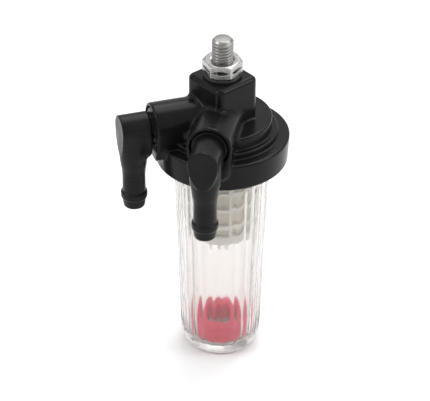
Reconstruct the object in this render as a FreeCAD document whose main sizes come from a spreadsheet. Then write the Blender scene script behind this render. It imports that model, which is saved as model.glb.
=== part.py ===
import FreeCAD, Part
import Sketcher
import math
import os

# Bowl-type fuel filter: a moulded head with two hose elbows and a threaded
# mounting stud, a screw-on clear bowl, a screen element on the head's spigot,
# and a float ring that shows water in the bowl.
# Frame: +Z up along the filter's axis, origin at the centre of the bowl's
# flat underside.  The two hose sockets lie either side of -Y.  Millimetres.

os.makedirs("parts", exist_ok=True)
doc = FreeCAD.newDocument("fuel_filter")
V = FreeCAD.Vector
ROT = FreeCAD.Rotation
PL = FreeCAD.Placement

# ------------------------------------------------------------------ dimensions
DIMS = [
    # cap (skirted head)
    ("cap_rad_top", 25.0), ("cap_rad_low", 24.4), ("skirt_low_z", 82.1),
    ("cap_top_z", 92.8), ("cap_edge", 0.9), ("skirt_bore_rad", 21.95),
    ("ceiling_z", 90.2), ("lead_in", 0.4),
    ("tier_mid_rad", 20.6), ("tier_mid_z", 95.2),
    ("tier_top_rad", 18.4), ("tier_top_z", 100.0), ("tier_edge", 0.5),
    # square boss that carries the stud
    ("block_half", 9.4), ("block_top_z", 116.8), ("block_corner", 2.6),
    ("block_bevel", 1.1), ("block_turn", -8.0),
    # hose sockets
    ("arm_angle", 30.5), ("arm_z", 100.3), ("arm_rad", 8.4), ("arm_end_in", 27.1), ("arm_end_out", 24.8),
    ("arm_foot_z", 87.5), ("arm_foot_half", 6.0),
    ("mouth_rad", 7.2), ("mouth_depth", 3.0), ("socket_bore_rad", 5.12),
    ("socket_depth", 8.4), ("passage_rad", 2.8), ("inlet_drop_at", 12.0),
    # spigot for the element
    ("spigot_rad", 5.0), ("spigot_low_z", 75.0),
    # hose elbows
    # (lengths along the elbow's arm are counted from the socket's end face)
    ("elbow_arm_rad", 5.6), ("elbow_body_at", 1.3), ("elbow_face_at", 12.25), ("elbow_axis_at", 6.8),
    ("elbow_web_half", 4.6), ("elbow_web_z", 89.6),
    ("elbow_collar_rad", 6.6), ("elbow_collar_len", 2.7), ("elbow_spigot_rad", 5.0),
    ("elbow_bore_rad", 2.6), ("elbow_shoulder_rad", 5.4), ("elbow_shoulder_z", 92.5),
    ("elbow_knee_rad", 5.3), ("elbow_knee_z", 89.4), ("elbow_calf_rad", 4.85), ("elbow_calf_z", 85.6),
    ("elbow_ankle_rad", 4.4), ("elbow_ankle_z", 83.0), ("elbow_waist_z", 80.5),
    ("tube_rad", 4.25), ("bead_rad", 4.95), ("bead_root_z", 74.1),
    ("bead_top_z", 73.4), ("bead_low_z", 71.4), ("tip_root_rad", 4.5), ("tip_root_z", 71.0),
    ("tip_rad", 3.95), ("tube_end_z", 67.3),
    # mounting stud, nut and washer
    ("stud_rad", 4.0), ("stud_top_z", 132.0), ("stud_chamfer", 0.8),
    ("stud_root_z", 106.0), ("stud_root_rad", 6.2), ("stud_root_thick", 3.0),
    ("stud_fit", 0.02),
    ("stud_neck_rad", 3.4), ("stud_neck_low_z", 123.1), ("stud_neck_high_z", 123.8),
    ("nut_flats", 13.0), ("nut_thick", 5.6), ("nut_turn", 36.0), ("nut_chamfer", 0.55),
    ("nut_bore_rad", 4.06),
    ("washer_rad", 7.0), ("washer_bore_rad", 4.2), ("washer_thick", 1.2),
    # bowl
    ("bowl_base_rad", 12.6), ("bowl_heel_rad", 13.9), ("bowl_heel_z", 1.3),
    ("bowl_turn_rad", 14.9), ("bowl_turn_z", 4.6),
    ("bowl_low_rad", 15.3), ("bowl_low_z", 9.0),
    ("bowl_high_rad", 17.7), ("bowl_high_z", 78.2),
    ("bowl_wall", 2.2), ("bowl_floor_z", 2.9), ("bowl_floor_rad", 10.6),
    ("neck_rad", 21.85), ("neck_low_z", 80.6), ("neck_top_z", 88.4),
    ("neck_bore_rad", 18.0), ("neck_bore_low_z", 82.6),
    ("flute_count", 24.0), ("flute_rad", 3.6), ("flute_depth", 0.55),
    ("flute_top_z", 77.4),
    # bowl O-ring
    ("ring_mid_rad", 19.9), ("ring_wire_rad", 1.3), ("ring_gland", 0.04),
    # float ring
    ("float_rad", 11.0), ("float_bore_rad", 6.0), ("float_low_z", 3.0),
    ("float_high_z", 10.6), ("float_edge", 0.8),
    # element
    ("element_rad", 11.9), ("element_low_z", 50.0), ("cap_disc_thick", 2.0),
    ("element_high_z", 81.5), ("collar_rad", 8.4), ("collar_top_z", 85.0),
    ("seal_rad", 6.8), ("seal_bore_rad", 5.04), ("seal_low_z", 80.3),
    ("seal_high_z", 84.6), ("lip_bore_rad", 5.6),
    ("cage_bore_rad", 10.35), ("rib_width", 2.0), ("rib_count", 8.0),
    ("hoop_thick", 1.6), ("hoop_pitch", 7.5), ("mesh_rad", 10.3), ("mesh_thick", 0.3),
    ("post_rad", 1.6), ("post_low_z", 41.0),
]
sheet = doc.addObject("Spreadsheet::Sheet", "dims")
for i, (alias, value) in enumerate(DIMS, start=1):
    sheet.set("A%d" % i, alias)
    sheet.set("B%d" % i, repr(value))
    sheet.setAlias("B%d" % i, alias)
doc.recompute()


class Q:
    """A size: its number now, and the expression that drives it."""

    def __init__(self, val, txt=None):
        self.val = float(val)
        self.txt = txt if txt is not None else repr(float(val))

    def _bin(self, other, sign, a, b):
        o = other if isinstance(other, Q) else Q(other)
        x, y = (self, o) if not b else (o, self)
        val = {"+": x.val + y.val, "-": x.val - y.val, "*": x.val * y.val,
               "/": x.val / y.val if y.val else 0.0}[sign]
        return Q(val, "(%s %s %s)" % (x.txt, sign, y.txt))

    def __add__(self, o): return self._bin(o, "+", 0, 0)
    def __radd__(self, o): return self._bin(o, "+", 0, 1)
    def __sub__(self, o): return self._bin(o, "-", 0, 0)
    def __rsub__(self, o): return self._bin(o, "-", 0, 1)
    def __mul__(self, o): return self._bin(o, "*", 0, 0)
    def __rmul__(self, o): return self._bin(o, "*", 0, 1)
    def __truediv__(self, o): return self._bin(o, "/", 0, 0)
    def __neg__(self): return Q(-self.val, "(0 - %s)" % self.txt)


class Dims:
    def __getattr__(self, name):
        return Q(float(sheet.get(name)), "dims." + name)


D = Dims()


def q(x):
    return x if isinstance(x, Q) else Q(x)


def bind(obj, prop, size):
    obj.setExpression(prop, q(size).txt)


def place(obj, x=0, y=0, z=0, axis=None, angle=0):
    """Placement with its offsets and its turn bound to the sheet."""
    x, y, z, angle = q(x), q(y), q(z), q(angle)
    rot = ROT(V(*(axis or (0, 0, 1))), angle.val)
    obj.Placement = PL(V(x.val, y.val, z.val), rot)
    for name, s in (("x", x), ("y", y), ("z", z)):
        if "dims." in s.txt:
            bind(obj, "Placement.Base." + name, s)
    if "dims." in angle.txt:
        bind(obj, "Placement.Rotation.Angle", angle)
    return obj


def cylinder(name, rad, height, **where):
    o = doc.addObject("Part::Cylinder", name)
    bind(o, "Radius", rad)
    bind(o, "Height", height)
    return place(o, **where)


def cone(name, rad_a, rad_b, height, **where):
    o = doc.addObject("Part::Cone", name)
    bind(o, "Radius1", rad_a)
    bind(o, "Radius2", rad_b)
    bind(o, "Height", height)
    return place(o, **where)


def box(name, length, width, height, **where):
    o = doc.addObject("Part::Box", name)
    bind(o, "Length", length)
    bind(o, "Width", width)
    bind(o, "Height", height)
    return place(o, **where)


def fuse(name, shapes):
    o = doc.addObject("Part::MultiFuse", name)
    o.Shapes = shapes
    o.Refine = True
    return o


def join(name, a, b):
    o = doc.addObject("Part::Fuse", name)
    o.Base = a
    o.Tool = b
    o.Refine = True
    return o


def common(name, shapes):
    o = doc.addObject("Part::MultiCommon", name)
    o.Shapes = shapes
    return o


def cut(name, base, tool, refine=True):
    o = doc.addObject("Part::Cut", name)
    o.Base = base
    o.Tool = tool
    o.Refine = refine
    return o


def plane_of(body, role):
    for f in body.Origin.OriginFeatures:
        if getattr(f, "Role", "") == role:
            return f
    raise RuntimeError("no plane " + role)


def closed_sketch(sk, points):
    """A closed outline of straight lines, every corner driven by the sheet."""
    n = len(points)
    pts = [(q(a), q(b)) for a, b in points]
    for i in range(n):
        a, b = pts[i], pts[(i + 1) % n]
        sk.addGeometry(Part.LineSegment(V(a[0].val, a[1].val, 0), V(b[0].val, b[1].val, 0)), False)
    for i in range(n):
        sk.addConstraint(Sketcher.Constraint("Coincident", i, 2, (i + 1) % n, 1))
    for i, (u, w) in enumerate(pts):
        for kind, axis, s in (("DistanceX", -2, u), ("DistanceY", -1, w)):
            if abs(s.val) < 1e-9 and "dims." not in s.txt:
                sk.addConstraint(Sketcher.Constraint("PointOnObject", i, 1, axis))
            else:
                c = sk.addConstraint(Sketcher.Constraint(kind, -1, 1, i, 1, s.val))
                if "dims." in s.txt:
                    label = "c%d%s" % (i, "u" if kind == "DistanceX" else "w")
                    sk.renameConstraint(c, label)
                    sk.setExpression("Constraints." + label, s.txt)


def turned(label, points):
    """A body turned from its (radius, height) outline about the filter's axis."""
    body = doc.addObject("PartDesign::Body", label)
    body.Label = label
    sk = body.newObject("Sketcher::SketchObject", label + "_outline")
    sk.AttachmentSupport = [(plane_of(body, "XZ_Plane"), "")]
    sk.MapMode = "FlatFace"
    doc.recompute()
    closed_sketch(sk, points)
    doc.recompute()
    rev = body.newObject("PartDesign::Revolution", label + "_turned")
    rev.Profile = sk
    rev.ReferenceAxis = (sk, ["V_Axis"])
    rev.Angle = 360.0
    body.Tip = rev
    doc.recompute()
    return body


def groove(body, name, points):
    """Material turned away from a body about the filter's axis."""
    before = body.Shape.Volume
    sk = body.newObject("Sketcher::SketchObject", name + "_outline")
    sk.AttachmentSupport = [(plane_of(body, "XZ_Plane"), "")]
    sk.MapMode = "FlatFace"
    doc.recompute()
    closed_sketch(sk, points)
    doc.recompute()
    g = body.newObject("PartDesign::Groove", name)
    g.Profile = sk
    g.ReferenceAxis = (sk, ["V_Axis"])
    g.Angle = 360.0
    body.Tip = g
    doc.recompute()
    if body.Shape.Volume >= before - 1e-6:
        raise RuntimeError(name + " removed nothing")
    return g


# ----------------------------------------------------------------- filter head
cap = turned("head_cap", [
    (0, D.spigot_low_z), (D.spigot_rad - 0.5, D.spigot_low_z),
    (D.spigot_rad, D.spigot_low_z + 0.8),
    (D.spigot_rad, D.ceiling_z - 1.2), (D.spigot_rad + 1.2, D.ceiling_z),
    (D.skirt_bore_rad, D.ceiling_z),
    (D.skirt_bore_rad, D.skirt_low_z + D.lead_in),
    (D.skirt_bore_rad + D.lead_in, D.skirt_low_z),
    (D.cap_rad_low - 0.9, D.skirt_low_z), (D.cap_rad_low - 0.25, D.skirt_low_z + 0.3),
    (D.cap_rad_low, D.skirt_low_z + 1.0),
    (D.cap_rad_top, D.cap_top_z - D.cap_edge),
    (D.cap_rad_top - 0.27, D.cap_top_z - 0.27),
    (D.cap_rad_top - D.cap_edge, D.cap_top_z),
    (D.tier_mid_rad, D.cap_top_z + 0.25),
    (D.tier_mid_rad, D.tier_mid_z - D.tier_edge),
    (D.tier_mid_rad - D.tier_edge, D.tier_mid_z),
    (D.tier_top_rad, D.tier_mid_z + 0.15),
    (D.tier_top_rad, D.tier_top_z - D.tier_edge),
    (D.tier_top_rad - D.tier_edge, D.tier_top_z),
    (0, D.tier_top_z + 0.4),
])

blank = box("boss_blank", D.block_half * 2, D.block_half * 2, D.block_top_z - D.cap_top_z,
            x=-D.block_half, y=-D.block_half, z=D.cap_top_z)
doc.recompute()


def edges_where(shape, test):
    return [i + 1 for i, e in enumerate(shape.Edges) if test(e)]


def upright(e):
    d = e.Vertexes[-1].Point - e.Vertexes[0].Point
    return abs(d.x) < 1e-6 and abs(d.y) < 1e-6 and abs(d.z) > 1.0


boss_round = doc.addObject("Part::Fillet", "boss_round")
boss_round.Base = blank
r_corner = D.block_corner.val
boss_round.Edges = [(i, r_corner, r_corner) for i in edges_where(blank.Shape, upright)]
doc.recompute()
top_z = D.block_top_z.val
boss_bevel = doc.addObject("Part::Chamfer", "boss_bevel")
boss_bevel.Base = boss_round
b = D.block_bevel.val
boss_bevel.Edges = [(i, b, b) for i in edges_where(
    boss_round.Shape, lambda e: all(abs(v.Point.z - top_z) < 1e-6 for v in e.Vertexes))]
place(boss_bevel, angle=D.block_turn)
doc.recompute()


def socket(tag, turn, end_at):
    """One hose socket along +X, turned to its direction."""
    tube = cylinder(tag + "_barrel", D.arm_rad, end_at, z=D.arm_z, axis=(0, 1, 0), angle=90)
    body = doc.addObject("PartDesign::Body", tag + "_web")
    sk = body.newObject("Sketcher::SketchObject", tag + "_web_outline")
    sk.AttachmentSupport = [(plane_of(body, "YZ_Plane"), "")]
    sk.MapMode = "FlatFace"
    doc.recompute()
    closed_sketch(sk, [
        (D.arm_rad, D.arm_z), (-D.arm_rad, D.arm_z),
        (-D.arm_rad + 0.15, D.arm_z - 3.0),
        (-D.arm_foot_half - 0.7, D.arm_foot_z + 1.6), (-D.arm_foot_half + 1.2, D.arm_foot_z),
        (D.arm_foot_half - 1.2, D.arm_foot_z), (D.arm_foot_half + 0.7, D.arm_foot_z + 1.6),
        (D.arm_rad - 0.15, D.arm_z - 3.0)])
    doc.recompute()
    pad = body.newObject("PartDesign::Pad", tag + "_web_pad")
    pad.Profile = sk
    bind(pad, "Length", end_at)
    body.Tip = pad
    doc.recompute()
    # The web stands on the cap's shoulder: what would fall inside the skirt goes.
    inner = cylinder(tag + "_web_clear", D.skirt_bore_rad + 1.0, D.ceiling_z - D.arm_foot_z + 2.4,
                     z=D.arm_foot_z - 1.0)
    web = cut(tag + "_web_trimmed", body, inner)
    o = fuse(tag, [tube, web])
    return place(o, angle=turn)


TURN_IN = -90 - D.arm_angle
TURN_OUT = -90 + D.arm_angle
socket_in = socket("inlet_socket", TURN_IN, D.arm_end_in)
socket_out = socket("outlet_socket", TURN_OUT, D.arm_end_out)
head_solid = join("head_solid", join("head_with_inlet", join("head_with_boss", cap, boss_bevel), socket_in),
                  socket_out)


def socket_hole(tag, turn, reach, end_at):
    """Counterbored mouth, elbow bore and the passage behind them."""
    floor_at = end_at - D.socket_depth
    mouth = cylinder(tag + "_mouth", D.mouth_rad, D.mouth_depth + 1.0, x=end_at - D.mouth_depth,
                     z=D.arm_z, axis=(0, 1, 0), angle=90)
    bore = cylinder(tag + "_seat", D.socket_bore_rad, D.socket_depth, x=floor_at,
                    z=D.arm_z, axis=(0, 1, 0), angle=90)
    way = cylinder(tag + "_way", D.passage_rad, floor_at - reach + 0.5, x=reach, z=D.arm_z,
                   axis=(0, 1, 0), angle=90)
    drop_h = D.arm_z - D.spigot_low_z + 1.0 if reach is ZERO else D.arm_z - D.ceiling_z + 1.0
    drop_z = D.spigot_low_z - 1.0 if reach is ZERO else D.ceiling_z - 1.0
    drop = cylinder(tag + "_drop", D.passage_rad, drop_h, x=reach, z=drop_z)
    end = doc.addObject("Part::Sphere", tag + "_turn_ball")
    bind(end, "Radius", D.passage_rad)
    place(end, x=reach, z=D.arm_z)
    o = fuse(tag, [mouth, bore, way, drop, end])
    return place(o, angle=turn)


ZERO = Q(0.0)
hole_in = socket_hole("inlet_hole", TURN_IN, D.inlet_drop_at, D.arm_end_in)
hole_out = socket_hole("outlet_hole", TURN_OUT, ZERO, D.arm_end_out)
stud_hole = fuse("stud_hole", [
    cylinder("stud_hole_shank", D.stud_rad + D.stud_fit, D.block_top_z - D.stud_root_z + 1.0, z=D.stud_root_z),
    cylinder("stud_hole_root", D.stud_root_rad + D.stud_fit, D.stud_root_thick + D.stud_fit * 2,
             z=D.stud_root_z - D.stud_fit)])
doc.recompute()
whole = sum(o.Shape.Volume for o in (cap, boss_bevel))
if head_solid.Shape.Volume < whole - 3000.0:
    raise RuntimeError("the head's pieces did not join")
head = cut("filter_head", cut("head_less_stud", cut("head_less_inlet", head_solid, hole_in), stud_hole), hole_out)
doc.recompute()


# ----------------------------------------------------------------- hose elbows
def elbow(label, turn, end_at):
    """Hose elbow: spigot and collar in the socket, drop-shaped body, and a barbed tube pointing down."""
    y_turn = dict(axis=(0, 1, 0), angle=90)
    floor_at = end_at - D.socket_depth
    axis_at = end_at + D.elbow_axis_at
    arm = cylinder(label + "_arm", D.elbow_arm_rad, D.elbow_face_at - D.elbow_body_at,
                   x=end_at + D.elbow_body_at, z=D.arm_z, **y_turn)
    spigot = cylinder(label + "_spigot", D.elbow_spigot_rad, D.socket_depth + D.elbow_body_at + 0.4,
                      x=floor_at + 0.1, z=D.arm_z, **y_turn)
    collar = cylinder(label + "_collar", D.elbow_collar_rad, D.elbow_collar_len,
                      x=end_at - D.mouth_depth + 0.05, z=D.arm_z, **y_turn)
    drop_body = doc.addObject("PartDesign::Body", label + "_drop_body")
    sk = drop_body.newObject("Sketcher::SketchObject", label + "_drop_outline")
    sk.AttachmentSupport = [(plane_of(drop_body, "YZ_Plane"), "")]
    sk.MapMode = "FlatFace"
    doc.recompute()
    closed_sketch(sk, [
        (D.elbow_arm_rad - 0.02, D.arm_z - 0.4), (-D.elbow_arm_rad + 0.02, D.arm_z - 0.4),
        (-D.elbow_arm_rad + 0.4, D.arm_z - 3.3), (-D.elbow_arm_rad + 1.1, D.arm_z - 5.8),
        (-D.elbow_arm_rad + 2.1, D.arm_z - 8.0), (-D.elbow_arm_rad + 3.4, D.arm_z - 9.6),
        (D.elbow_arm_rad - 3.4, D.arm_z - 9.6), (D.elbow_arm_rad - 2.1, D.arm_z - 8.0),
        (D.elbow_arm_rad - 1.1, D.arm_z - 5.8), (D.elbow_arm_rad - 0.4, D.arm_z - 3.3)])
    doc.recompute()
    pad = drop_body.newObject("PartDesign::Pad", label + "_drop_pad")
    pad.Profile = sk
    bind(pad, "Length", D.elbow_face_at - D.elbow_body_at)
    drop_body.Tip = pad
    place(drop_body, x=end_at + D.elbow_body_at)
    web = box(label + "_web", D.elbow_axis_at - D.elbow_body_at, D.elbow_web_half * 2,
              D.arm_z - D.elbow_web_z, x=end_at + D.elbow_body_at, y=-D.elbow_web_half, z=D.elbow_web_z)
    leg = turned(label + "_leg", [
        (0, D.tube_end_z), (D.tip_rad, D.tube_end_z), (D.tip_root_rad, D.tip_root_z),
        (D.bead_rad, D.bead_low_z), (D.bead_rad, D.bead_top_z), (D.tube_rad, D.bead_root_z),
        (D.tube_rad, D.elbow_waist_z), (D.elbow_ankle_rad, D.elbow_ankle_z),
        (D.elbow_calf_rad, D.elbow_calf_z),
        (D.elbow_knee_rad, D.elbow_knee_z), (D.elbow_shoulder_rad, D.elbow_shoulder_z),
        (D.elbow_shoulder_rad, D.arm_z), (0, D.arm_z)])
    place(leg, x=axis_at)
    solid = arm
    for i, extra in enumerate([spigot, collar, drop_body, web, leg]):
        solid = join(label + "_solid%d" % i, solid, extra)
    way = cylinder(label + "_way", D.elbow_bore_rad, axis_at - floor_at,
                   x=floor_at, z=D.arm_z, **y_turn)
    ball = doc.addObject("Part::Sphere", label + "_way_turn")
    bind(ball, "Radius", D.elbow_bore_rad)
    place(ball, x=axis_at, z=D.arm_z)
    drop = cylinder(label + "_drop", D.elbow_bore_rad, D.arm_z - D.tube_end_z + 1.0,
                    x=axis_at, z=D.tube_end_z - 1.0)
    tools = fuse(label + "_cuts", [way, ball, drop])
    o = cut(label, solid, tools)
    return place(o, angle=turn)


inlet = elbow("inlet_elbow", TURN_IN, D.arm_end_in)
outlet = elbow("outlet_elbow", TURN_OUT, D.arm_end_out)

# --------------------------------------------------- mounting stud, nut, washer
# Threads are kept as plain cylinders at their major size.
stud = turned("mounting_stud", [
    (0, D.stud_root_z), (D.stud_root_rad, D.stud_root_z),
    (D.stud_root_rad, D.stud_root_z + D.stud_root_thick),
    (D.stud_rad, D.stud_root_z + D.stud_root_thick),
    (D.stud_rad, D.stud_neck_low_z), (D.stud_neck_rad, D.stud_neck_low_z),
    (D.stud_neck_rad, D.stud_neck_high_z), (D.stud_rad, D.stud_neck_high_z),
    (D.stud_rad, D.stud_top_z - D.stud_chamfer),
    (D.stud_rad - D.stud_chamfer, D.stud_top_z), (0, D.stud_top_z)])

washer = turned("mounting_washer", [
    (D.washer_bore_rad, D.block_top_z), (D.washer_rad - 0.15, D.block_top_z),
    (D.washer_rad, D.block_top_z + 0.15),
    (D.washer_rad, D.block_top_z + D.washer_thick - 0.15),
    (D.washer_rad - 0.15, D.block_top_z + D.washer_thick),
    (D.washer_bore_rad, D.block_top_z + D.washer_thick)])

nut_z = D.block_top_z + D.washer_thick
hexagon = doc.addObject("Part::Prism", "nut_hexagon")
hexagon.Polygon = 6
bind(hexagon, "Circumradius", D.nut_flats / math.sqrt(3.0))
bind(hexagon, "Height", D.nut_thick)
place(hexagon, z=nut_z, angle=D.nut_turn)
nut_form = turned("nut_form", [
    (D.nut_bore_rad + 0.5, nut_z), (D.nut_flats / 2 - 0.2, nut_z),
    (D.nut_flats / 2 + 1.1, nut_z + D.nut_chamfer + 0.2),
    (D.nut_flats / 2 + 1.1, nut_z + D.nut_thick - D.nut_chamfer - 0.2),
    (D.nut_flats / 2 - 0.2, nut_z + D.nut_thick), (D.nut_bore_rad + 0.5, nut_z + D.nut_thick),
    (D.nut_bore_rad, nut_z + D.nut_thick - 0.5), (D.nut_bore_rad, nut_z + 0.5)])
nut = common("mounting_nut", [hexagon, nut_form])
doc.recompute()

# ------------------------------------------------------------------------ bowl
inner_low = D.bowl_low_rad - D.bowl_wall
inner_high = D.bowl_high_rad - D.bowl_wall
shell = turned("bowl_shell", [
    (0, 0), (D.bowl_base_rad, 0), (D.bowl_base_rad + 0.75, 0.35), (D.bowl_heel_rad, D.bowl_heel_z),
    (D.bowl_turn_rad, D.bowl_turn_z), (D.bowl_low_rad, D.bowl_low_z),
    (D.bowl_high_rad, D.bowl_high_z), (D.neck_rad - 0.4, D.neck_low_z - 0.4),
    (D.neck_rad, D.neck_low_z), (D.neck_rad, D.neck_top_z - 0.3),
    (D.neck_rad - 0.3, D.neck_top_z), (D.neck_bore_rad, D.neck_top_z),
    (D.neck_bore_rad, D.neck_bore_low_z),
    (inner_high, D.bowl_high_z + 1.6),
    (inner_low, D.bowl_low_z + 1.5), (inner_low - 0.35, D.bowl_turn_z + 1.9),
    (D.bowl_floor_rad + 1.25, D.bowl_floor_z + 0.95), (D.bowl_floor_rad, D.bowl_floor_z),
    (0, D.bowl_floor_z)])
ring_gland = doc.addObject("Part::Torus", "ring_gland")
bind(ring_gland, "Radius1", D.ring_mid_rad)
bind(ring_gland, "Radius2", D.ring_wire_rad + D.ring_gland)
ring_z = D.ceiling_z - D.ring_wire_rad - 0.03
place(ring_gland, z=ring_z)
doc.recompute()

# Shallow upright flutes that follow the wall's taper and run out at the heel.
flutes = []
rise = D.bowl_high_z.val - D.bowl_low_z.val
slope = math.atan2(D.bowl_high_rad.val - D.bowl_low_rad.val, rise)
tilt = math.degrees(slope)
n_flute = int(D.flute_count.val)
centre = D.bowl_low_rad - D.flute_depth + D.flute_rad
run = (D.flute_top_z - D.bowl_low_z) + 12.0
for i in range(n_flute):
    a = 360.0 * i / n_flute + 7.5
    ca, sa = math.cos(math.radians(a)), math.sin(math.radians(a))
    f = doc.addObject("Part::Cylinder", "flute_%02d" % (i + 1))
    bind(f, "Radius", D.flute_rad)
    bind(f, "Height", run / math.cos(slope))
    foot = centre - 12.0 * math.tan(slope)
    place(f, x=foot * ca, y=foot * sa, z=D.bowl_low_z - 12.0, axis=(-sa, ca, 0), angle=tilt)
    flutes.append(f)
# Neighbouring cutters overlap, so every other one goes in each set.
flutes_odd = doc.addObject("Part::Compound", "flutes_odd")
flutes_odd.Links = flutes[0::2]
flutes_even = doc.addObject("Part::Compound", "flutes_even")
flutes_even.Links = flutes[1::2]
doc.recompute()
bowl_cut = cut("bowl_ring_seat", shell, ring_gland)
bowl_half = cut("bowl_half_fluted", bowl_cut, flutes_odd, refine=False)
bowl = cut("bowl", bowl_half, flutes_even, refine=False)
doc.recompute()

o_ring = doc.addObject("Part::Torus", "bowl_o_ring")
bind(o_ring, "Radius1", D.ring_mid_rad)
bind(o_ring, "Radius2", D.ring_wire_rad)
place(o_ring, z=ring_z)

# ------------------------------------------------------------------ float ring
float_ring = turned("float_ring", [
    (D.float_bore_rad, D.float_low_z + 0.5), (D.float_bore_rad + 0.5, D.float_low_z),
    (D.float_rad - D.float_edge, D.float_low_z), (D.float_rad, D.float_low_z + D.float_edge),
    (D.float_rad, D.float_high_z - 0.6), (D.float_rad - 0.6, D.float_high_z),
    (D.float_bore_rad + 0.5, D.float_high_z), (D.float_bore_rad, D.float_high_z - 0.5)])

# --------------------------------------------------------------------- element
low_top = D.element_low_z + D.cap_disc_thick
high_low = D.element_high_z - D.cap_disc_thick
top_cap = turned("element_top_cap", [
    (D.lip_bore_rad, high_low), (D.element_rad - 0.3, high_low), (D.element_rad, high_low + 0.3),
    (D.element_rad, D.element_high_z - 0.4), (D.element_rad - 0.4, D.element_high_z),
    (D.collar_rad, D.element_high_z), (D.collar_rad, D.collar_top_z - 0.4),
    (D.collar_rad - 0.4, D.collar_top_z), (D.seal_rad, D.collar_top_z),
    (D.seal_rad, D.seal_low_z), (D.lip_bore_rad, D.seal_low_z)])
seal = turned("element_seal", [
    (D.seal_bore_rad, D.seal_low_z + 0.4), (D.seal_bore_rad + 0.4, D.seal_low_z),
    (D.seal_rad, D.seal_low_z), (D.seal_rad, D.seal_high_z),
    (D.seal_bore_rad + 0.4, D.seal_high_z), (D.seal_bore_rad, D.seal_high_z - 0.4)])
bottom_cap = turned("element_bottom_cap", [
    (0, D.post_low_z), (D.post_rad - 0.4, D.post_low_z), (D.post_rad, D.post_low_z + 0.4),
    (D.post_rad, D.element_low_z - 1.0), (D.post_rad + 1.0, D.element_low_z),
    (D.element_rad - 0.5, D.element_low_z), (D.element_rad, D.element_low_z + 0.5),
    (D.element_rad, low_top), (0, low_top)])
cage_parts = []
for i in range(int(D.rib_count.val)):
    a = 360.0 * i / D.rib_count.val + 14.0
    ca, sa = math.cos(math.radians(a)), math.sin(math.radians(a))
    rib = doc.addObject("Part::Box", "cage_rib_%d" % (i + 1))
    bind(rib, "Length", D.element_rad - D.cage_bore_rad)
    bind(rib, "Width", D.rib_width)
    bind(rib, "Height", high_low - low_top)
    place(rib, x=D.cage_bore_rad * ca + D.rib_width * (sa / 2), y=D.cage_bore_rad * sa - D.rib_width * (ca / 2),
          z=low_top, angle=a)
    cage_parts.append(rib)
for i in range(5):
    half = D.hoop_thick / 2
    if i == 0:
        low, high = low_top, low_top + D.hoop_thick
    elif i == 4:
        low, high = high_low - D.hoop_thick, high_low
    else:
        mid = low_top + D.hoop_pitch * (i - 0.25)
        low, high = mid - half, mid + half
    cage_parts.append(turned("cage_hoop_%d" % (i + 1), [
        (D.cage_bore_rad, low), (D.element_rad, low), (D.element_rad, high), (D.cage_bore_rad, high)]))
cage = fuse("element_cage", cage_parts)
mesh = turned("element_mesh", [
    (D.mesh_rad - D.mesh_thick, low_top), (D.mesh_rad, low_top),
    (D.mesh_rad, high_low), (D.mesh_rad - D.mesh_thick, high_low)])
doc.recompute()

# ---------------------------------------------------------------------- export
NODES = [head, inlet, outlet, stud, nut, washer, bowl, o_ring, float_ring,
         top_cap, seal, bottom_cap, cage, mesh]
for o in doc.Objects:
    bad = [s for s in o.State if s in ("Invalid", "Error")]
    if bad:
        raise RuntimeError("%s is %s" % (o.Name, bad))
for o in NODES:
    o.Label = o.Name
    s = o.Shape
    if s.isNull() or not s.isValid():
        raise RuntimeError(o.Label + " has no valid shape")
    solids = len(s.Solids)
    bb = s.BoundBox
    print("%-20s solids %d  volume %9.1f  x %.2f %.2f  y %.2f %.2f  z %.2f %.2f" % (
        o.Label, solids, s.Volume, bb.XMin, bb.XMax, bb.YMin, bb.YMax, bb.ZMin, bb.ZMax))
    if solids != 1:
        raise RuntimeError(o.Label + " is not one solid")
for o in NODES:
    o.Shape.exportStep("parts/" + o.Label + ".step")
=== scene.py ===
import math
import bpy
import numpy as np
import openvdb as vdb
from mathutils import Matrix, Vector


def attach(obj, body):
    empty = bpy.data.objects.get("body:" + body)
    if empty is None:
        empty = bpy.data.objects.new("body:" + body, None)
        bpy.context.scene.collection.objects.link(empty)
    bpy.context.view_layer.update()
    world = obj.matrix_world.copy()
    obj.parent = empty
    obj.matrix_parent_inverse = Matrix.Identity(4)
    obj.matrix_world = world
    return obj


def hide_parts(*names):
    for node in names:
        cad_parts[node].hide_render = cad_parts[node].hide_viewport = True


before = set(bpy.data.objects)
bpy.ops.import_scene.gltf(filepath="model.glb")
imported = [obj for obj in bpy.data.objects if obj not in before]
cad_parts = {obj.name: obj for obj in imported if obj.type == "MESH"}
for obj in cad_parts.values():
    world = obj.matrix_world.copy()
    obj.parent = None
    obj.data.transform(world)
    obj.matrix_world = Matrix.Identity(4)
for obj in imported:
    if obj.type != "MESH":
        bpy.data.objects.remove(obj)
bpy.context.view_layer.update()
MM = 0.001
TAU = 2.0 * math.pi

# ------------------------------------------------------------------ sizes (mm)
CAP_TOP, CEILING, SKIRT_LOW, SKIRT_BORE = 92.8, 90.2, 82.1, 21.95
BLOCK_HALF, BLOCK_TOP, BLOCK_CORNER, BLOCK_BEVEL, BLOCK_TURN = 9.4, 116.8, 2.6, 1.1, -8.0
ARM_HALF_ANGLE, ARM_Z, ARM_R, ARM_FOOT = 30.5, 100.3, 8.4, 87.5
END_IN, END_OUT, SEAT_DEEP = 27.1, 24.8, 8.4
MOUTH_R, MOUTH_DEEP, SEAT_R, WAY_R = 7.2, 3.0, 5.12, 2.8
SPIGOT_R, SPIGOT_LOW = 5.0, 75.0
ELBOW_LEG, ELBOW_FACE, ELBOW_BODY, ELBOW_R, TUBE_END = 6.8, 12.25, 1.3, 5.6, 67.3
STUD_R, STUD_TOP, STUD_ROOT, STUD_PITCH = 4.0, 132.0, 106.0, 1.25
NUT_Z, NUT_H, NUT_AF, NUT_TURN = 118.0, 5.6, 13.0, 36.0
BOWL_PITCH, NECK_R, NECK_LOW, NECK_TOP = 2.5, 21.85, 80.6, 88.4
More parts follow.
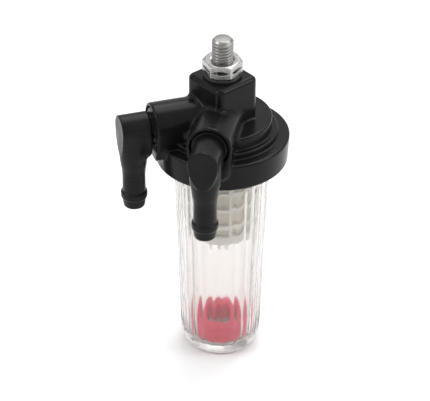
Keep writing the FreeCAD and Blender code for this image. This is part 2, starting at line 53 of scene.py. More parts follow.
FLUTE_AT, FLUTE_R, FLUTE_DEEP = 7.5, 3.6, 0.55


# ------------------------------------------------------------------ mesh tools
def new_object(name, verts, faces, scale=MM):
    me = bpy.data.meshes.new(name)
    me.from_pydata([tuple(v) for v in np.asarray(verts, float) * scale], [], [tuple(int(i) for i in f) for f in faces])
    me.validate()
    me.update()
    ob = bpy.data.objects.new(name, me)
    bpy.context.scene.collection.objects.link(ob)
    return ob


def signed_volume(me):
    n = len(me.vertices)
    co = np.zeros(n * 3, np.float64)
    me.vertices.foreach_get("co", co)
    co = co.reshape(-1, 3)
    me.calc_loop_triangles()
    t = np.zeros(len(me.loop_triangles) * 3, np.int32)
    me.loop_triangles.foreach_get("vertices", t)
    t = t.reshape(-1, 3)
    return float(np.einsum("ij,ij->i", co[t[:, 0]], np.cross(co[t[:, 1]], co[t[:, 2]])).sum() / 6.0)


def outward(ob):
    if signed_volume(ob.data) < 0:
        ob.data.flip_normals()
    return ob


def smooth(ob, angle=32.0):
    me = ob.data
    me.polygons.foreach_set("use_smooth", [True] * len(me.polygons))
    me.set_sharp_from_angle(angle=math.radians(angle))
    me.update()
    return ob


def rounded(poly, radii, step=14.0):
    """A closed (r, z) outline with its corners turned into arcs of the given radii."""
    out = []
    n = len(poly)
    for i in range(n):
        p = np.array(poly[i], float)
        a = np.array(poly[i - 1], float) - p
        b = np.array(poly[(i + 1) % n], float) - p
        r = radii[i] if hasattr(radii, "__len__") else radii
        la, lb = np.linalg.norm(a), np.linalg.norm(b)
        if r <= 0 or la < 1e-9 or lb < 1e-9:
            out.append(tuple(p))
            continue
        a, b = a / la, b / lb
        ang = math.acos(max(-1.0, min(1.0, float(a @ b))))
        if ang > math.radians(176):
            out.append(tuple(p))
            continue
        cut = min(r / math.tan(ang / 2), la * 0.49, lb * 0.49)
        rr = cut * math.tan(ang / 2)
        centre = p + (a + b) / np.linalg.norm(a + b) * (rr / math.sin(ang / 2))
        p0, p1 = p + a * cut, p + b * cut
        t0 = math.atan2(*(p0 - centre)[::-1])
        t1 = math.atan2(*(p1 - centre)[::-1])
        d = (t1 - t0 + math.pi) % TAU - math.pi
        k = max(2, int(math.ceil(abs(math.degrees(d)) / step)))
        for j in range(k + 1):
            t = t0 + d * j / k
            out.append((centre[0] + rr * math.cos(t), centre[1] + rr * math.sin(t)))
    return out


def densify(poly, longest):
    out = []
    n = len(poly)
    for i in range(n):
        a, b = np.array(poly[i], float), np.array(poly[(i + 1) % n], float)
        k = max(1, int(math.ceil(np.linalg.norm(b - a) / longest)))
        for j in range(k):
            out.append(tuple(a + (b - a) * j / k))
    return out


def lathe(name, outline, segs=96, radial=None, axis_xy=(0.0, 0.0)):
    """A closed (r, z) outline turned about the axis; points on r = 0 become poles.
    radial(r, theta, z, index) may give each point its own radius."""
    rings, verts, faces = [], [], []
    th = np.arange(segs) * TAU / segs
    for k, (r, z) in enumerate(outline):
        if r < 1e-6:
            rings.append(("pole", len(verts)))
            verts.append((axis_xy[0], axis_xy[1], z))
        else:
            rr = np.full(segs, float(r)) if radial is None else radial(np.full(segs, float(r)), th, z, k)
            rings.append(("ring", len(verts)))
            for t, q in zip(th, rr):
                verts.append((axis_xy[0] + q * math.cos(t), axis_xy[1] + q * math.sin(t), z))
    n = len(rings)
    for i in range(n):
        (ka, a), (kb, b) = rings[i], rings[(i + 1) % n]
        if ka == "pole" and kb == "pole":
            continue
        for s in range(segs):
            s2 = (s + 1) % segs
            if ka == "pole":
                faces.append((a, b + s2, b + s))
            elif kb == "pole":
                faces.append((a + s, a + s2, b))
            else:
                faces.append((a + s, a + s2, b + s2, b + s))
    return outward(new_object(name, verts, faces))


# ---------------------------------------------------------- distance-field tools
def smin(a, b, k):
    if k <= 0:
        return np.minimum(a, b)
    h = np.clip(k - np.abs(a - b), 0, None) / k
    return np.minimum(a, b) - h * h * k * 0.25


def smax(a, b, k):
    return -smin(-a, -b, k)


def meet(a, b, r):
    """Intersection of two distances with a rounded edge of radius r."""
    qa, qb = a + r, b + r
    return np.minimum(np.maximum(qa, qb), 0) + np.hypot(np.maximum(qa, 0), np.maximum(qb, 0)) - r


def poly_distance(px, py, poly):
    """Signed distance to a closed polygon, negative inside."""
    d = np.full(px.shape, 1e9)
    s = np.ones(px.shape)
    n = len(poly)
    for i in range(n):
        ax, ay = poly[i]
        bx, by = poly[i - 1]
        ex, ey = bx - ax, by - ay
        wx, wy = px - ax, py - ay
        t = np.clip((wx * ex + wy * ey) / (ex * ex + ey * ey + 1e-12), 0, 1)
        d = np.minimum(d, (wx - ex * t) ** 2 + (wy - ey * t) ** 2)
        c1, c2, c3 = py >= ay, py < by, ex * wy > ey * wx
        flip = (c1 & c2 & c3) | (~c1 & ~c2 & ~c3)
        s = np.where(flip, -s, s)
    return s * np.sqrt(d)


class Field:
    """A box of sample points; distances are arrays over it, negative inside."""

    def __init__(self, lo, hi, step):
        self.lo, self.step = np.array(lo, float), float(step)
        n = [int(math.ceil((b - a) / step)) + 1 for a, b in zip(lo, hi)]
        self.ax = [np.float32(lo[i] + step * np.arange(n[i])) for i in range(3)]
        self.X, self.Y, self.Z = np.meshgrid(*self.ax, indexing="ij", copy=False)

    def table(self, across, poly_fn):
        """Samples a 2-D distance over (across, z), where across is an array over the box."""
        span = np.linspace(float(across.min()) - 0.1, float(across.max()) + 0.1, 420)
        zz = self.ax[2]
        S, ZZ = np.meshgrid(span, zz, indexing="ij")
        T = poly_fn(S, ZZ)
        flat = across[:, :, 0]
        out = np.empty(self.X.shape, np.float32)
        for k in range(len(zz)):
            out[:, :, k] = np.interp(flat.ravel(), span, T[:, k]).reshape(flat.shape)
        return out

    def mesh(self, name, d, adaptivity=0.0):
        g = vdb.FloatGrid(background=float(3 * self.step))
        arr = np.ascontiguousarray(np.clip(d, -3 * self.step, 3 * self.step).astype(np.float32))
        g.copyFromArray(arr)
        pts, tris, quads = g.convertToPolygons(isovalue=0.0, adaptivity=adaptivity)
        pts = np.asarray(pts, float) * self.step + self.lo
        faces = [tuple(f) for f in np.asarray(tris).tolist()] + [tuple(f) for f in np.asarray(quads).tolist()]
        return outward(new_object(name, pts, faces))


# --------------------------------------------------------------- thread profile
def thread_radius(theta, z, pitch, major, depth, crest=0.125, root=0.25):
    """Radius of a right-hand thread at an angle and height."""
    ph = np.mod(z / pitch - theta / TAU, 1.0)
    d = np.abs(ph - 0.5) * 2.0
    t = np.clip((d - crest) / max(1e-6, 1.0 - crest - root), 0.0, 1.0)
    return major - depth * t


# ------------------------------------------------------------------------ head
def build_head():
    step = 0.30
    f = Field((-26.6, -29.4, 74.4), (26.6, 26.6, 117.4), step)
    X, Y, Z = f.X, f.Y, f.Z
    R = np.hypot(X, Y)

    def disc(rad, z0, z1, e):
        return meet(R - rad, np.abs(Z - (z0 + z1) / 2) - (z1 - z0) / 2, e)

    wall = 24.4 + (Z - 82.1) * 0.056
    skirt = meet(R - wall, np.abs(Z - 87.45) - 5.35, 0.85)
    mid = disc(20.6, 86.0, 95.2, 0.5)
    top = disc(18.4, 88.0, 100.0, 0.55)
    cap = smin(smin(skirt, mid, 0.7), top, 0.7)

    a = math.radians(-BLOCK_TURN)
    xb, yb = X * math.cos(a) - Y * math.sin(a), X * math.sin(a) + Y * math.cos(a)
    h = BLOCK_HALF - BLOCK_CORNER
    qx, qy = np.abs(xb) - h, np.abs(yb) - h
    side = np.hypot(np.maximum(qx, 0), np.maximum(qy, 0)) + np.minimum(np.maximum(qx, qy), 0) - BLOCK_CORNER
    lid = Z - BLOCK_TOP
    slant = (side + lid + BLOCK_BEVEL) * 0.70711
    block = smax(smax(side, lid, 0.25), slant, 0.45)
    block = np.maximum(block, 94.0 - Z)

    foot = ARM_FOOT - ARM_Z
    tomb = [(ARM_R, 0.0)]
    for t in np.linspace(0, math.pi, 33)[1:-1]:
        tomb.append((ARM_R * math.cos(t), ARM_R * math.sin(t)))
    tomb += [(-ARM_R, 0.0), (-8.25, -3.0), (-6.7, foot + 1.6), (-4.9, foot), (4.9, foot), (6.7, foot + 1.6), (8.25, -3.0)]

    arms = []
    holes = []
    for turn, reach, end in ((-90 - ARM_HALF_ANGLE, 12.0, END_IN), (-90 + ARM_HALF_ANGLE, 0.0, END_OUT)):
        c, s = math.cos(math.radians(turn)), math.sin(math.radians(turn))
        U, W = X * c + Y * s, -X * s + Y * c
        prism = f.table(W, lambda v, z: poly_distance(v, z - ARM_Z, tomb))
        arm = meet(prism, np.abs(U - end / 2) - end / 2, 0.7)
        arms.append(arm)
        ring = np.hypot(W, Z - ARM_Z)
        mouth = meet(ring - MOUTH_R, (end - MOUTH_DEEP) - U, 0.15)
        seat = np.maximum(ring - SEAT_R, end - SEAT_DEEP - U)
        way = np.maximum(ring - WAY_R, np.maximum(reach - U, U - (end - SEAT_DEEP) - 1.0))
        fall = np.hypot(U - reach, W) - WAY_R
        fall = np.maximum(fall, np.maximum(Z - ARM_Z, 70.0 - Z))
        ball = np.sqrt((U - reach) ** 2 + W ** 2 + (Z - ARM_Z) ** 2) - WAY_R
        holes.append(np.minimum(np.minimum(np.minimum(mouth, seat), np.minimum(way, fall)), ball))
    both = smin(arms[0], arms[1], 1.6)
    solid = smin(smin(cap, block, 1.0), both, 1.7)

    # The skirt's inside: bore, a coarse female thread, the ceiling and the spigot.
    th = np.arctan2(Y, X)
    male = thread_radius(th, Z, BOWL_PITCH, 21.85, 0.95, 0.16, 0.30) + 0.14
    plain = np.where(Z < SKIRT_LOW + 0.9, 22.25, np.where(Z > 88.2, 21.6, 0.0))
    blend = np.clip((Z - (SKIRT_LOW + 0.3)) / 1.0, 0, 1) * np.clip((88.4 - Z) / 1.0, 0, 1)
    bore = male * blend + np.where(Z > 85.0, 21.95, 22.3) * (1 - blend)
    cavity = meet((R - bore) * 0.8, Z - CEILING, 0.5)
    spigot = meet(R - SPIGOT_R, SPIGOT_LOW - Z, 0.5)
    d = np.maximum(solid, -cavity)
    d = smin(d, np.maximum(spigot, Z - 92.0), 1.2)
    for hole in holes:
        d = np.maximum(d, -hole)
    shank = np.maximum(R - (STUD_R + 0.03), STUD_ROOT - Z)
    root = meet(R - 6.23, np.abs(Z - 107.5) - 1.53, 0.1)
    d = smax(d, -np.minimum(shank, root), 0.2)
    ob = f.mesh("head_shell", d)
    return ob


# ---------------------------------------------------------------------- elbows
def build_elbow(name, turn, end):
    f = Field((end - 9.0, -6.9, 66.6), (end + 13.2, 6.9, 107.8), 0.2)
    U, W, Z = f.X - end, f.Y, f.Z
    ring = np.hypot(W, Z - ARM_Z)
    drop = [(ELBOW_R * math.cos(t), ARM_Z + ELBOW_R * math.sin(t)) for t in np.linspace(-0.05, math.pi + 0.05, 40)]
    drop += [(-5.2, ARM_Z - 3.3), (-4.5, ARM_Z - 5.8), (-3.5, ARM_Z - 8.0), (-2.2, ARM_Z - 9.6), (-0.8, ARM_Z - 10.2),
             (0.8, ARM_Z - 10.2), (2.2, ARM_Z - 9.6), (3.5, ARM_Z - 8.0), (4.5, ARM_Z - 5.8), (5.2, ARM_Z - 3.3)]
    body = f.table(W, lambda v, z: poly_distance(v, z, drop))
    body = meet(body, np.maximum(ELBOW_BODY - U, U - ELBOW_FACE), 0.55)
    web = meet(meet(np.abs(W) - 4.6, 89.6 - Z, 2.2), np.maximum(ELBOW_BODY - U, U - ELBOW_LEG), 0.4)
    web = np.maximum(web, Z - 98.0)
    neck = meet(ring - 5.0, (0.1 - SEAT_DEEP) - U, 0.3)
    neck = np.maximum(neck, U - 3.0)
    collar = meet(ring - 6.6, np.abs(U + 1.6) - 1.35, 0.35)
    line = [(-12.0, 67.3), (3.95, 67.3), (4.45, 70.9), (4.95, 71.45), (4.95, 73.4), (4.3, 74.15), (4.25, 80.5),
            (4.4, 83.0), (4.85, 85.6), (5.3, 89.4), (5.4, 92.5), (5.4, ARM_Z), (-12.0, ARM_Z)]
    soft = rounded(line, [0, 0.45, 0.25, 0.25, 0.3, 0.35, 12.0, 8.0, 8.0, 8.0, 8.0, 0, 0])
    Rl = np.hypot(U - ELBOW_LEG, W)
    leg = f.table(Rl, lambda v, z: poly_distance(v, z, soft))
    d = smin(smin(body, leg, 0.9), web, 3.0)
    d = smax(d, U - ELBOW_FACE, 0.5)
    d = smin(np.minimum(collar, neck), d, 0.25)
    bore_h = np.maximum(ring - 2.6, U - ELBOW_LEG)
    bore_v = np.maximum(Rl - 2.6, Z - ARM_Z)
    ball = np.sqrt((U - ELBOW_LEG) ** 2 + W ** 2 + (Z - ARM_Z) ** 2) - 2.6
    d = smax(d, -np.minimum(np.minimum(bore_h, bore_v), ball), 0.35)
    ob = f.mesh(name, d)
    ob.data.transform(Matrix.Rotation(math.radians(turn), 4, "Z"))
    ob.data.update()
    return ob


# ------------------------------------------------------------------- fasteners
def build_stud():
    p = STUD_PITCH
    rows = []
    rows += [(0.0, STUD_ROOT)]
    rows += [(5.9, STUD_ROOT), (6.2, STUD_ROOT + 0.3), (6.2, STUD_ROOT + 2.7), (5.9, STUD_ROOT + 3.0), (4.0, STUD_ROOT + 3.0)]
    z = STUD_ROOT + 3.2
    while z < STUD_TOP - 1e-6:
        rows.append((4.0, z))
        z += p / 18.0
    rows.append((3.05, STUD_TOP - 0.02))
    rows.append((2.9, STUD_TOP))
    rows.append((0.0, STUD_TOP))

    def radial(r, th, z, k):
        if z < STUD_ROOT + 3.3 or r[0] < 3.9:
            return r
        q = thread_radius(th, z, p, 3.985, 0.64, 0.16, 0.22)
        tip = 3.05 + (STUD_TOP - z) * 1.0
        return np.minimum(q, tip)

    return lathe("stud_threaded", rows, 72, radial)


def build_nut():
    f = Field((-8.0, -8.0, NUT_Z - 0.5), (8.0, 8.0, NUT_Z + NUT_H + 0.5), 0.12)
    X, Y, Z = f.X, f.Y, f.Z
    R, th = np.hypot(X, Y), np.arctan2(Y, X)
    d = np.full(X.shape, -1e9, np.float32)
    for i in range(6):
        a = math.radians(NUT_TURN + 30 + 60 * i)
        plane = X * math.cos(a) + Y * math.sin(a) - NUT_AF / 2
        d = smax(d, plane, 0.1)
    mid = NUT_Z + NUT_H / 2
    d = smax(d, np.abs(Z - mid) - NUT_H / 2, 0.12)
    cone = (np.abs(Z - mid) - NUT_H / 2 + (R - 6.25) * 0.577) * 0.866
    d = smax(d, cone, 0.12)
    ph = thread_radius(th, Z, STUD_PITCH, 3.985, 0.64, 0.16, 0.22) + 0.09
    d = np.maximum(d, (ph - R) * 0.7)
    sink = (4.35 - R + (NUT_H / 2 - np.abs(Z - mid)) * 1.0) * 0.7071
    d = np.maximum(d, sink)
    return f.mesh("nut_hex", d)


# ------------------------------------------------------------------------ bowl
def build_bowl():
    outer = [(0, 0), (12.6, 0), (13.9, 1.3), (14.9, 4.6), (15.3, 9.0), (17.7, 78.2), (20.2, 79.5), (NECK_R - 0.9, NECK_LOW),
             (NECK_R - 0.9, NECK_TOP)]
    zc, rc = CEILING - 1.33, 1.36
    seat = [(19.9 + rc * math.cos(math.radians(b)), zc + rc * math.sin(math.radians(b))) for b in np.linspace(-20, -160, 15)]
    inner = [(18.0, NECK_TOP), (18.0, 82.6), (15.5, 79.8), (13.1, 10.5), (12.75, 6.5), (11.85, 3.85), (10.6, 2.9), (0, 2.9)]
    poly = outer + seat + inner
    rad = [0, 0.9, 3.0, 7.0, 20.0, 1.6, 1.2, 0.5, 0.25] + [0] * len(seat) + [0.25, 2.0, 3.0, 9.0, 5.0, 3.0, 2.2, 0]
    line = rounded(poly, rad, 9.0)
    # Fine rows along the wall and the threaded neck.
    out = []
    n = len(line)
    for i in range(n):
        a, b = np.array(line[i]), np.array(line[(i + 1) % n])
        L = np.linalg.norm(b - a)
        zmid = (a[1] + b[1]) / 2
        step = 0.11 if (zmid > 80.5 and a[0] > 20.5 and b[0] > 20.5 and L > 3) else 1.6
        k = max(1, int(math.ceil(L / step)))
        for j in range(k):
            out.append(tuple(a + (b - a) * j / k))
    segs = 384

    def radial(r, th, z, k):
        r0 = r[0]
        # outer wall, not the inner one: the inner wall is more than 1.5 mm inside the outer line
        wall = 15.3 + (z - 9.0) * (2.4 / 69.2)
        q = r.copy()
        if z <= 78.0 and r0 > wall - 1.6 and r0 > 12.3 and not (z < 0.05 and r0 < 12.0):
            ph = np.mod((th - math.radians(FLUTE_AT)) / TAU * 24.0 + 0.5, 1.0) - 0.5      # 0 at a flute's middle
            side = np.abs(ph) * (TAU / 24.0) * (r0 - 0.2)
            dip = np.clip(np.sqrt(np.maximum(FLUTE_R ** 2 - side ** 2, 0)) - (FLUTE_R - FLUTE_DEEP), 0, FLUTE_DEEP)
            up = np.clip((z - 1.2) / 7.0, 0, 1)
            up = up * up * (3 - 2 * up)
            dn = np.clip((77.6 - z) / 2.2, 0, 1)
            dn = dn * dn * (3 - 2 * dn)
            q = q - dip * up * dn
        elif z > 80.7 and r0 > 20.7 and z < 88.3:
            t = thread_radius(th, z, BOWL_PITCH, 21.85, 0.95, 0.16, 0.30)
            w = np.clip((z - 81.2) / 0.8, 0, 1) * np.clip((87.9 - z) / 0.7, 0, 1)
            q = (NECK_R - 0.9) + (t - (NECK_R - 0.9)) * w
            q = np.maximum(q, NECK_R - 0.95)
        return q

    return lathe("bowl_clear", out, segs, radial)


def torus(name, mid, wire, z, segs=160, around=28):
    line = [(mid + wire * math.cos(t), z + wire * math.sin(t)) for t in np.linspace(0, TAU, around + 1)[:-1]]
    return lathe(name, line, segs)


# --------------------------------------------------------------------- element
def build_cage():
    f = Field((-12.6, -12.6, 51.4), (12.6, 12.6, 80.1), 0.22)
    X, Y, Z = f.X, f.Y, f.Z
    R, th = np.hypot(X, Y), np.arctan2(Y, X)
    shell = np.abs(R - 11.13) - 0.77
    d = np.full(X.shape, 1e9, np.float32)
    for i in range(8):
        a = math.radians(360.0 * i / 8 + 14.0)
        w = np.abs(-X * math.sin(a) + Y * math.cos(a)) - 1.0
        w = np.where(X * math.cos(a) + Y * math.sin(a) > 0, w, 9.0)
        d = np.minimum(d, w)
    ribs = meet(shell, d, 0.3)
    ribs = np.maximum(ribs, np.maximum(52.0 - Z, Z - 79.5))
    hoops = np.full(X.shape, 1e9, np.float32)
    for lo, hi in ((52.0, 53.6), (56.83, 58.43), (64.33, 65.93), (71.83, 73.43), (77.9, 79.5)):
        hoops = np.minimum(hoops, meet(shell, np.abs(Z - (lo + hi) / 2) - (hi - lo) / 2, 0.3))
    return f.mesh("element_cage_moulded", smin(ribs, hoops, 0.7))


def build_screen():
    """A woven screen: upright and hoop wires that pass over and under each other on a fine backing cloth."""
    n_up, n_hoop = 96, 42
    z0, z1, r0, amp, wire = 52.05, 79.45, 10.08, 0.075, 0.105
    verts, faces = [], []

    def tube(path, normals, closed):
        base = len(verts)
        m = len(path)
        for i in range(m):
            p = np.array(path[i])
            nxt = np.array(path[(i + 1) % m]) if (closed or i < m - 1) else p
            prv = np.array(path[i - 1]) if (closed or i > 0) else p
            t = nxt - prv
            t = t / (np.linalg.norm(t) + 1e-9)
            nrm = np.array(normals[i])
            b = np.cross(t, nrm)
            for k in range(4):
                a = TAU * (k + 0.5) / 4
                verts.append(tuple(p + wire * (math.cos(a) * nrm + math.sin(a) * b)))
        for i in range(m if closed else m - 1):
            j = (i + 1) % m
            for k in range(4):
                k2 = (k + 1) % 4
                faces.append((base + i * 4 + k, base + j * 4 + k, base + j * 4 + k2, base + i * 4 + k2))
        if not closed:
            faces.append(tuple(base + k for k in (3, 2, 1, 0)))
            faces.append(tuple(base + (m - 1) * 4 + k for k in (0, 1, 2, 3)))

    for i in range(n_up):
        a = TAU * i / n_up
        rows = np.linspace(z0, z1, n_hoop * 2 + 1)
        path, nr = [], []
        for j, z in enumerate(rows):
            ph = (z - z0) / (z1 - z0) * n_hoop
            r = r0 + amp * math.cos(math.pi * (ph + i))
            path.append((r * math.cos(a), r * math.sin(a), z))
            nr.append((math.cos(a), math.sin(a), 0))
        tube(path, nr, False)
    for j in range(n_hoop):
        z = z0 + (z1 - z0) * (j + 0.5) / n_hoop
        path, nr = [], []
        for i in range(n_up * 2):
            a = TAU * i / (n_up * 2)
            r = r0 - amp * math.cos(math.pi * (i / 2.0 + j + 0.5))
            path.append((r * math.cos(a), r * math.sin(a), z))
            nr.append((math.cos(a), math.sin(a), 0))
        tube(path, nr, True)

    # The cloth behind the wires, which closes the gaps between them.
    segs, base = 192, len(verts)
    for r, z in ((9.74, z0), (9.90, z0), (9.90, z1), (9.74, z1)):
        verts += [(r * math.cos(TAU * k / segs), r * math.sin(TAU * k / segs), z) for k in range(segs)]
    for i in range(4):
        j = (i + 1) % 4
        for k in range(segs):
            k2 = (k + 1) % segs
            faces.append((base + i * segs + k, base + i * segs + k2, base + j * segs + k2, base + j * segs + k))
    ob = new_object("element_screen", verts, faces)
    return ob


# ------------------------------------------------------------------- materials
def principled(name):
    m = bpy.data.materials.new(name)
    m.use_nodes = True
    nt = m.node_tree
    bsdf = next(n for n in nt.nodes if n.type == "BSDF_PRINCIPLED")
    return m, nt, bsdf


def add(nt, kind, **props):
    n = nt.nodes.new(kind)
    for k, v in props.items():
        if k in n.inputs.keys():
            n.inputs[k].default_value = v
        else:
            setattr(n, k, v)
    return n


def coords(nt, scale=1.0):
    tc = nt.nodes.new("ShaderNodeTexCoord")
    mp = nt.nodes.new("ShaderNodeMapping")
    mp.inputs["Scale"].default_value = (scale, scale, scale)
    nt.links.new(tc.outputs["Object"], mp.inputs["Vector"])
    return mp.outputs["Vector"]


def noise(nt, vec, scale, detail=3.0, rough=0.5):
    n = nt.nodes.new("ShaderNodeTexNoise")
    n.inputs["Scale"].default_value = scale
    n.inputs["Detail"].default_value = detail
    n.inputs["Roughness"].default_value = rough
    nt.links.new(vec, n.inputs["Vector"])
    return n.outputs["Fac"]


def ramp(nt, fac, stops):
    r = nt.nodes.new("ShaderNodeValToRGB")
    el = r.color_ramp.elements
    while len(el) < len(stops):
        el.new(0.5)
    for e, (p, c) in zip(el, stops):
        e.position = p
        e.color = c if len(c) == 4 else (*c, 1.0)
    nt.links.new(fac, r.inputs["Fac"])
    return r.outputs["Color"]


def span(nt, fac, lo, hi, a=0.0, b=1.0):
    m = nt.nodes.new("ShaderNodeMapRange")
    m.inputs["From Min"].default_value = a
    m.inputs["From Max"].default_value = b
    m.inputs["To Min"].default_value = lo
    m.inputs["To Max"].default_value = hi
    nt.links.new(fac, m.inputs["Value"])
    return m.outputs["Result"]


def bump(nt, bsdf, height, strength, distance):
    b = nt.nodes.new("ShaderNodeBump")
    b.inputs["Strength"].default_value = strength
    b.inputs["Distance"].default_value = distance
    nt.links.new(height, b.inputs["Height"])
    nt.links.new(b.outputs["Normal"], bsdf.inputs["Normal"])
    return b


def black_plastic(name, base=0.012, rough=0.27, spread=0.08, coat=0.0, level=0.115):
    m, nt, b = principled(name)
    v = coords(nt)
    cloud = noise(nt, v, 90.0, 3.0)
    fine = noise(nt, v, 2600.0, 2.0)
    col = ramp(nt, cloud, [(0.3, (base * 0.8, base * 0.82, base * 0.86)), (0.7, (base * 1.25, base * 1.27, base * 1.32))])
    nt.links.new(col, b.inputs["Base Color"])
    nt.links.new(span(nt, cloud, rough - spread / 2, rough + spread / 2, 0.3, 0.7), b.inputs["Roughness"])
    b.inputs["Specular IOR Level"].default_value = level
    b.inputs["IOR"].default_value = 1.5
    b.inputs["Coat Weight"].default_value = coat
    b.inputs["Coat Roughness"].default_value = 0.08
    bump(nt, b, fine, 0.12, 0.00003)
    return m


def steel(name, tint=(0.72, 0.69, 0.65), rough=0.24):
    m, nt, b = principled(name)
    v = coords(nt)
    cloud = noise(nt, v, 260.0, 4.0, 0.6)
    fine = noise(nt, v, 5200.0, 2.0)
    col = ramp(nt, cloud, [(0.3, tuple(t * 0.86 for t in tint)), (0.7, tuple(min(1, t * 1.06) for t in tint))])
    nt.links.new(col, b.inputs["Base Color"])
    nt.links.new(span(nt, cloud, rough - 0.05, rough + 0.09, 0.3, 0.7), b.inputs["Roughness"])
    b.inputs["Metallic"].default_value = 1.0
    bump(nt, b, fine, 0.15, 0.00002)
    return m


def clear_plastic(name):
    m, nt, b = principled(name)
    v = coords(nt)
    cloud = noise(nt, v, 60.0, 3.0)
    fine = noise(nt, v, 1400.0, 2.0)
    col = ramp(nt, cloud, [(0.2, (0.865, 0.845, 0.83)), (0.8, (0.885, 0.867, 0.854))])
    nt.links.new(col, b.inputs["Base Color"])
    nt.links.new(span(nt, cloud, 0.12, 0.18, 0.3, 0.7), b.inputs["Roughness"])
    b.inputs["Transmission Weight"].default_value = 0.94
    b.inputs["IOR"].default_value = 1.33
    bump(nt, b, fine, 0.05, 0.00002)
    return m


def moulded(name, colour, rough=0.45, spread=0.12, fleck=0.08, sss=0.0, bump_d=0.00004, grain=1500.0):
    m, nt, b = principled(name)
    v = coords(nt)
    cloud = noise(nt, v, 140.0, 4.0)
    fine = noise(nt, v, grain, 2.0)
    col = ramp(nt, cloud, [(0.25, tuple(c * (1 - fleck) for c in colour)), (0.75, tuple(min(1.0, c * (1 + fleck)) for c in colour))])
    nt.links.new(col, b.inputs["Base Color"])
    nt.links.new(span(nt, cloud, rough - spread / 2, rough + spread / 2, 0.3, 0.7), b.inputs["Roughness"])
    if sss:
        b.inputs["Subsurface Weight"].default_value = sss
        b.inputs["Subsurface Radius"].default_value = (1.0, 0.6, 0.4)
        b.inputs["Subsurface Scale"].default_value = 0.0008
    bump(nt, b, fine, 0.2, bump_d)
    return m


def dress(ob, mat, body, slot, *nodes, angle=32.0):
    ob.data.materials.clear()
    ob.data.materials.append(mat)
    smooth(ob, angle)
    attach(ob, body)
    if nodes:
        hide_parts(*nodes)
    return ob


M_HEAD = black_plastic("glossy_black_nylon", 0.006, 0.24, 0.08)
M_ELBOW = black_plastic("satin_black_nylon", 0.007, 0.30, 0.08)
M_STUD = steel("bright_thread_steel", (0.31, 0.30, 0.288), 0.30)
M_NUT = steel("bright_nut_steel", (0.43, 0.422, 0.412), 0.24)
M_WASHER = moulded("black_washer", (0.012, 0.012, 0.013), 0.5)
M_RUBBER = moulded("black_rubber", (0.014, 0.014, 0.014), 0.6, 0.1, 0.15, grain=3000.0)
M_BOWL = clear_plastic("clear_bowl_plastic")
M_FLOAT = moulded("crimson_float", (0.90, 0.008, 0.095), 0.38, 0.1, 0.07, sss=0.15)
M_ELEMENT = moulded("cream_plastic", (0.95, 0.925, 0.86), 0.5, 0.12, 0.03, sss=0.2)
M_SCREEN = moulded("cream_screen", (0.95, 0.91, 0.81), 0.6, 0.12, 0.04, grain=6000.0)

# ---------------------------------------------------------------------- pieces
dress(build_head(), M_HEAD, "head", "head_plastic", "filter_head")
dress(build_elbow("inlet_elbow_moulded", -90 - ARM_HALF_ANGLE, END_IN), M_ELBOW, "head", "elbow_plastic", "inlet_elbow")
dress(build_elbow("outlet_elbow_moulded", -90 + ARM_HALF_ANGLE, END_OUT), M_ELBOW, "head", "elbow_plastic", "outlet_elbow")
dress(build_stud(), M_STUD, "head", "stud_steel", "mounting_stud", angle=50)
dress(build_nut(), M_NUT, "nut", "nut_steel", "mounting_nut", angle=28)

washer_line = rounded([(4.2, 116.8), (7.0, 116.8), (7.0, 118.0), (4.2, 118.0)], 0.22, 20)
dress(lathe("washer_ring", washer_line, 96), M_WASHER, "washer", "washer_black", "mounting_washer")

dress(build_bowl(), M_BOWL, "bowl", "bowl_clear", "bowl", angle=40)
dress(torus("bowl_o_ring_cord", 19.9, 1.3, CEILING - 1.33), M_RUBBER, "bowl_seal", "o_ring_rubber", "bowl_o_ring")

float_line = rounded([(6.0, 3.0), (11.0, 3.0), (11.0, 10.6), (6.0, 10.6)], [0.6, 1.1, 0.9, 0.7], 12)
dress(lathe("float_moulded", float_line, 96), M_FLOAT, "float", "float_red", "float_ring")

top_line = rounded([(5.6, 79.5), (11.9, 79.5), (11.9, 81.5), (8.4, 81.5), (8.4, 85.0), (6.8, 85.0), (6.8, 80.3), (5.6, 80.3)],
                   [0.1, 0.3, 0.4, 0.5, 0.35, 0.15, 0.0, 0.1], 18)
dress(lathe("element_top_moulded", top_line, 96), M_ELEMENT, "element", "element_white", "element_top_cap")
seal_line = rounded([(5.04, 80.3), (6.8, 80.3), (6.8, 84.6), (5.04, 84.6)], [0.5, 0.1, 0.1, 0.5], 18)
dress(lathe("element_seal_ring", seal_line, 72), M_RUBBER, "element", "seal_rubber", "element_seal")
low_line = rounded([(0, 41.0), (1.6, 41.0), (1.6, 49.0), (2.6, 50.0), (11.9, 50.0), (11.9, 52.0), (0, 52.0)],
                   [0, 0.4, 0.8, 0.8, 0.5, 0.1, 0], 15)
dress(lathe("element_bottom_moulded", low_line, 96), M_ELEMENT, "element", "element_white", "element_bottom_cap")
dress(build_cage(), M_ELEMENT, "element", "element_white", "element_cage")
dress(build_screen(), M_SCREEN, "element", "mesh_cream", "element_mesh", angle=60)

# ------------------------------------------------------------------- the stage
def plane(name, half, z):
    return new_object(name, [(-half, -half, z), (half, -half, z), (half, half, z), (-half, half, z)], [(0, 1, 2, 3)], 1.0)


floor = plane("floor", 4.0, -0.0002)
mf, nt, b = principled("pale_floor")
v = coords(nt)
nt.links.new(ramp(nt, noise(nt, v, 6.0, 2.0), [(0.3, (0.84, 0.84, 0.84)), (0.7, (0.86, 0.86, 0.86))]), b.inputs["Base Color"])
b.inputs["Roughness"].default_value = 0.7
floor.data.materials.append(mf)

world = bpy.data.worlds.new("studio")
bpy.context.scene.world = world
world.use_nodes = True
bg = next(n for n in world.node_tree.nodes if n.type == "BACKGROUND")
bg.inputs["Color"].default_value = (1.0, 1.0, 1.0, 1.0)
bg.inputs["Strength"].default_value = 0.85

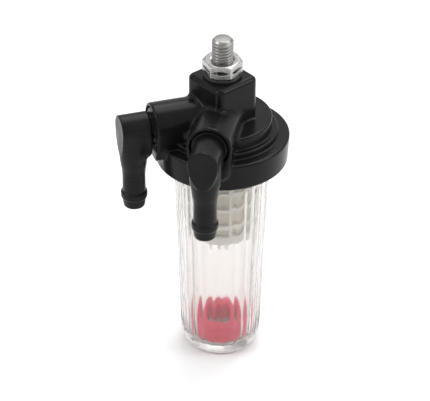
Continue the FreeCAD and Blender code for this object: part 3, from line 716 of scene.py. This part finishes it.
# ------------------------------------------------------------------ the camera
def make_camera():
    D, el, zf, s, cx, cy, az, roll = 900.0, 32.5, 82.1, 2.70, 222.7, 155.4, 41.25, 0.35
    e = math.radians(el)
    C = np.array([0, -D * math.cos(e), zf + D * math.sin(e)])
    fpx = s * D
    pitch = -e + math.atan((cy - 200.5) / fpx)
    yaw = math.atan((cx - 215.0) / fpx / math.cos(math.atan((cy - 200.5) / fpx)))
    fw = np.array([-math.sin(yaw) * math.cos(pitch), math.cos(yaw) * math.cos(pitch), math.sin(pitch)])
    r = np.cross(fw, [0, 0, 1]); r /= np.linalg.norm(r)
    u = np.cross(r, fw)
    q = math.radians(roll)
    r, u = r * math.cos(q) + u * math.sin(q), -r * math.sin(q) + u * math.cos(q)
    a = math.radians(az)
    rot = np.array([[math.cos(a), -math.sin(a), 0], [math.sin(a), math.cos(a), 0], [0, 0, 1]])
    C, fw, r, u = rot @ C, rot @ fw, rot @ r, rot @ u
    cam = bpy.data.cameras.new("camera")
    cam.sensor_width = 36.0
    cam.sensor_fit = "HORIZONTAL"
    cam.lens = fpx / 430.0 * 36.0
    cam.clip_start, cam.clip_end = 0.05, 20.0
    ob = bpy.data.objects.new("camera", cam)
    bpy.context.scene.collection.objects.link(ob)
    m = Matrix.Identity(4)
    for i in range(3):
        m[i][0], m[i][1], m[i][2], m[i][3] = r[i], u[i], -fw[i], C[i] * MM
    ob.matrix_world = m
    bpy.context.scene.camera = ob
    return ob


make_camera()


def area(name, loc, target, size, power, colour=(1, 1, 1), size_y=None):
    L = bpy.data.lights.new(name, "AREA")
    L.energy = power
    L.color = colour
    L.size = size
    if size_y:
        L.shape = "RECTANGLE"
        L.size_y = size_y
    o = bpy.data.objects.new(name, L)
    bpy.context.scene.collection.objects.link(o)
    o.location = loc
    o.rotation_euler = (Vector(target) - Vector(loc)).to_track_quat("-Z", "Y").to_euler()
    return o


def around(az, el, dist, z=0.07):
    a, e = math.radians(az), math.radians(el)
    return (dist * math.cos(e) * math.sin(a), -dist * math.cos(e) * math.cos(a), z + dist * math.sin(e))


AZ = 41.25
mid = (0, 0, 0.07)
area("top_soft", around(AZ + 160, 62, 1.1), mid, 0.8, 8.0)
area("left_soft", around(AZ - 75, 40, 1.1), mid, 0.5, 3.8)
area("right_soft", around(AZ + 80, 35, 1.1), mid, 0.5, 3.8)

bpy.context.scene.view_settings.view_transform = "Standard"
bpy.context.scene.view_settings.look = "None"
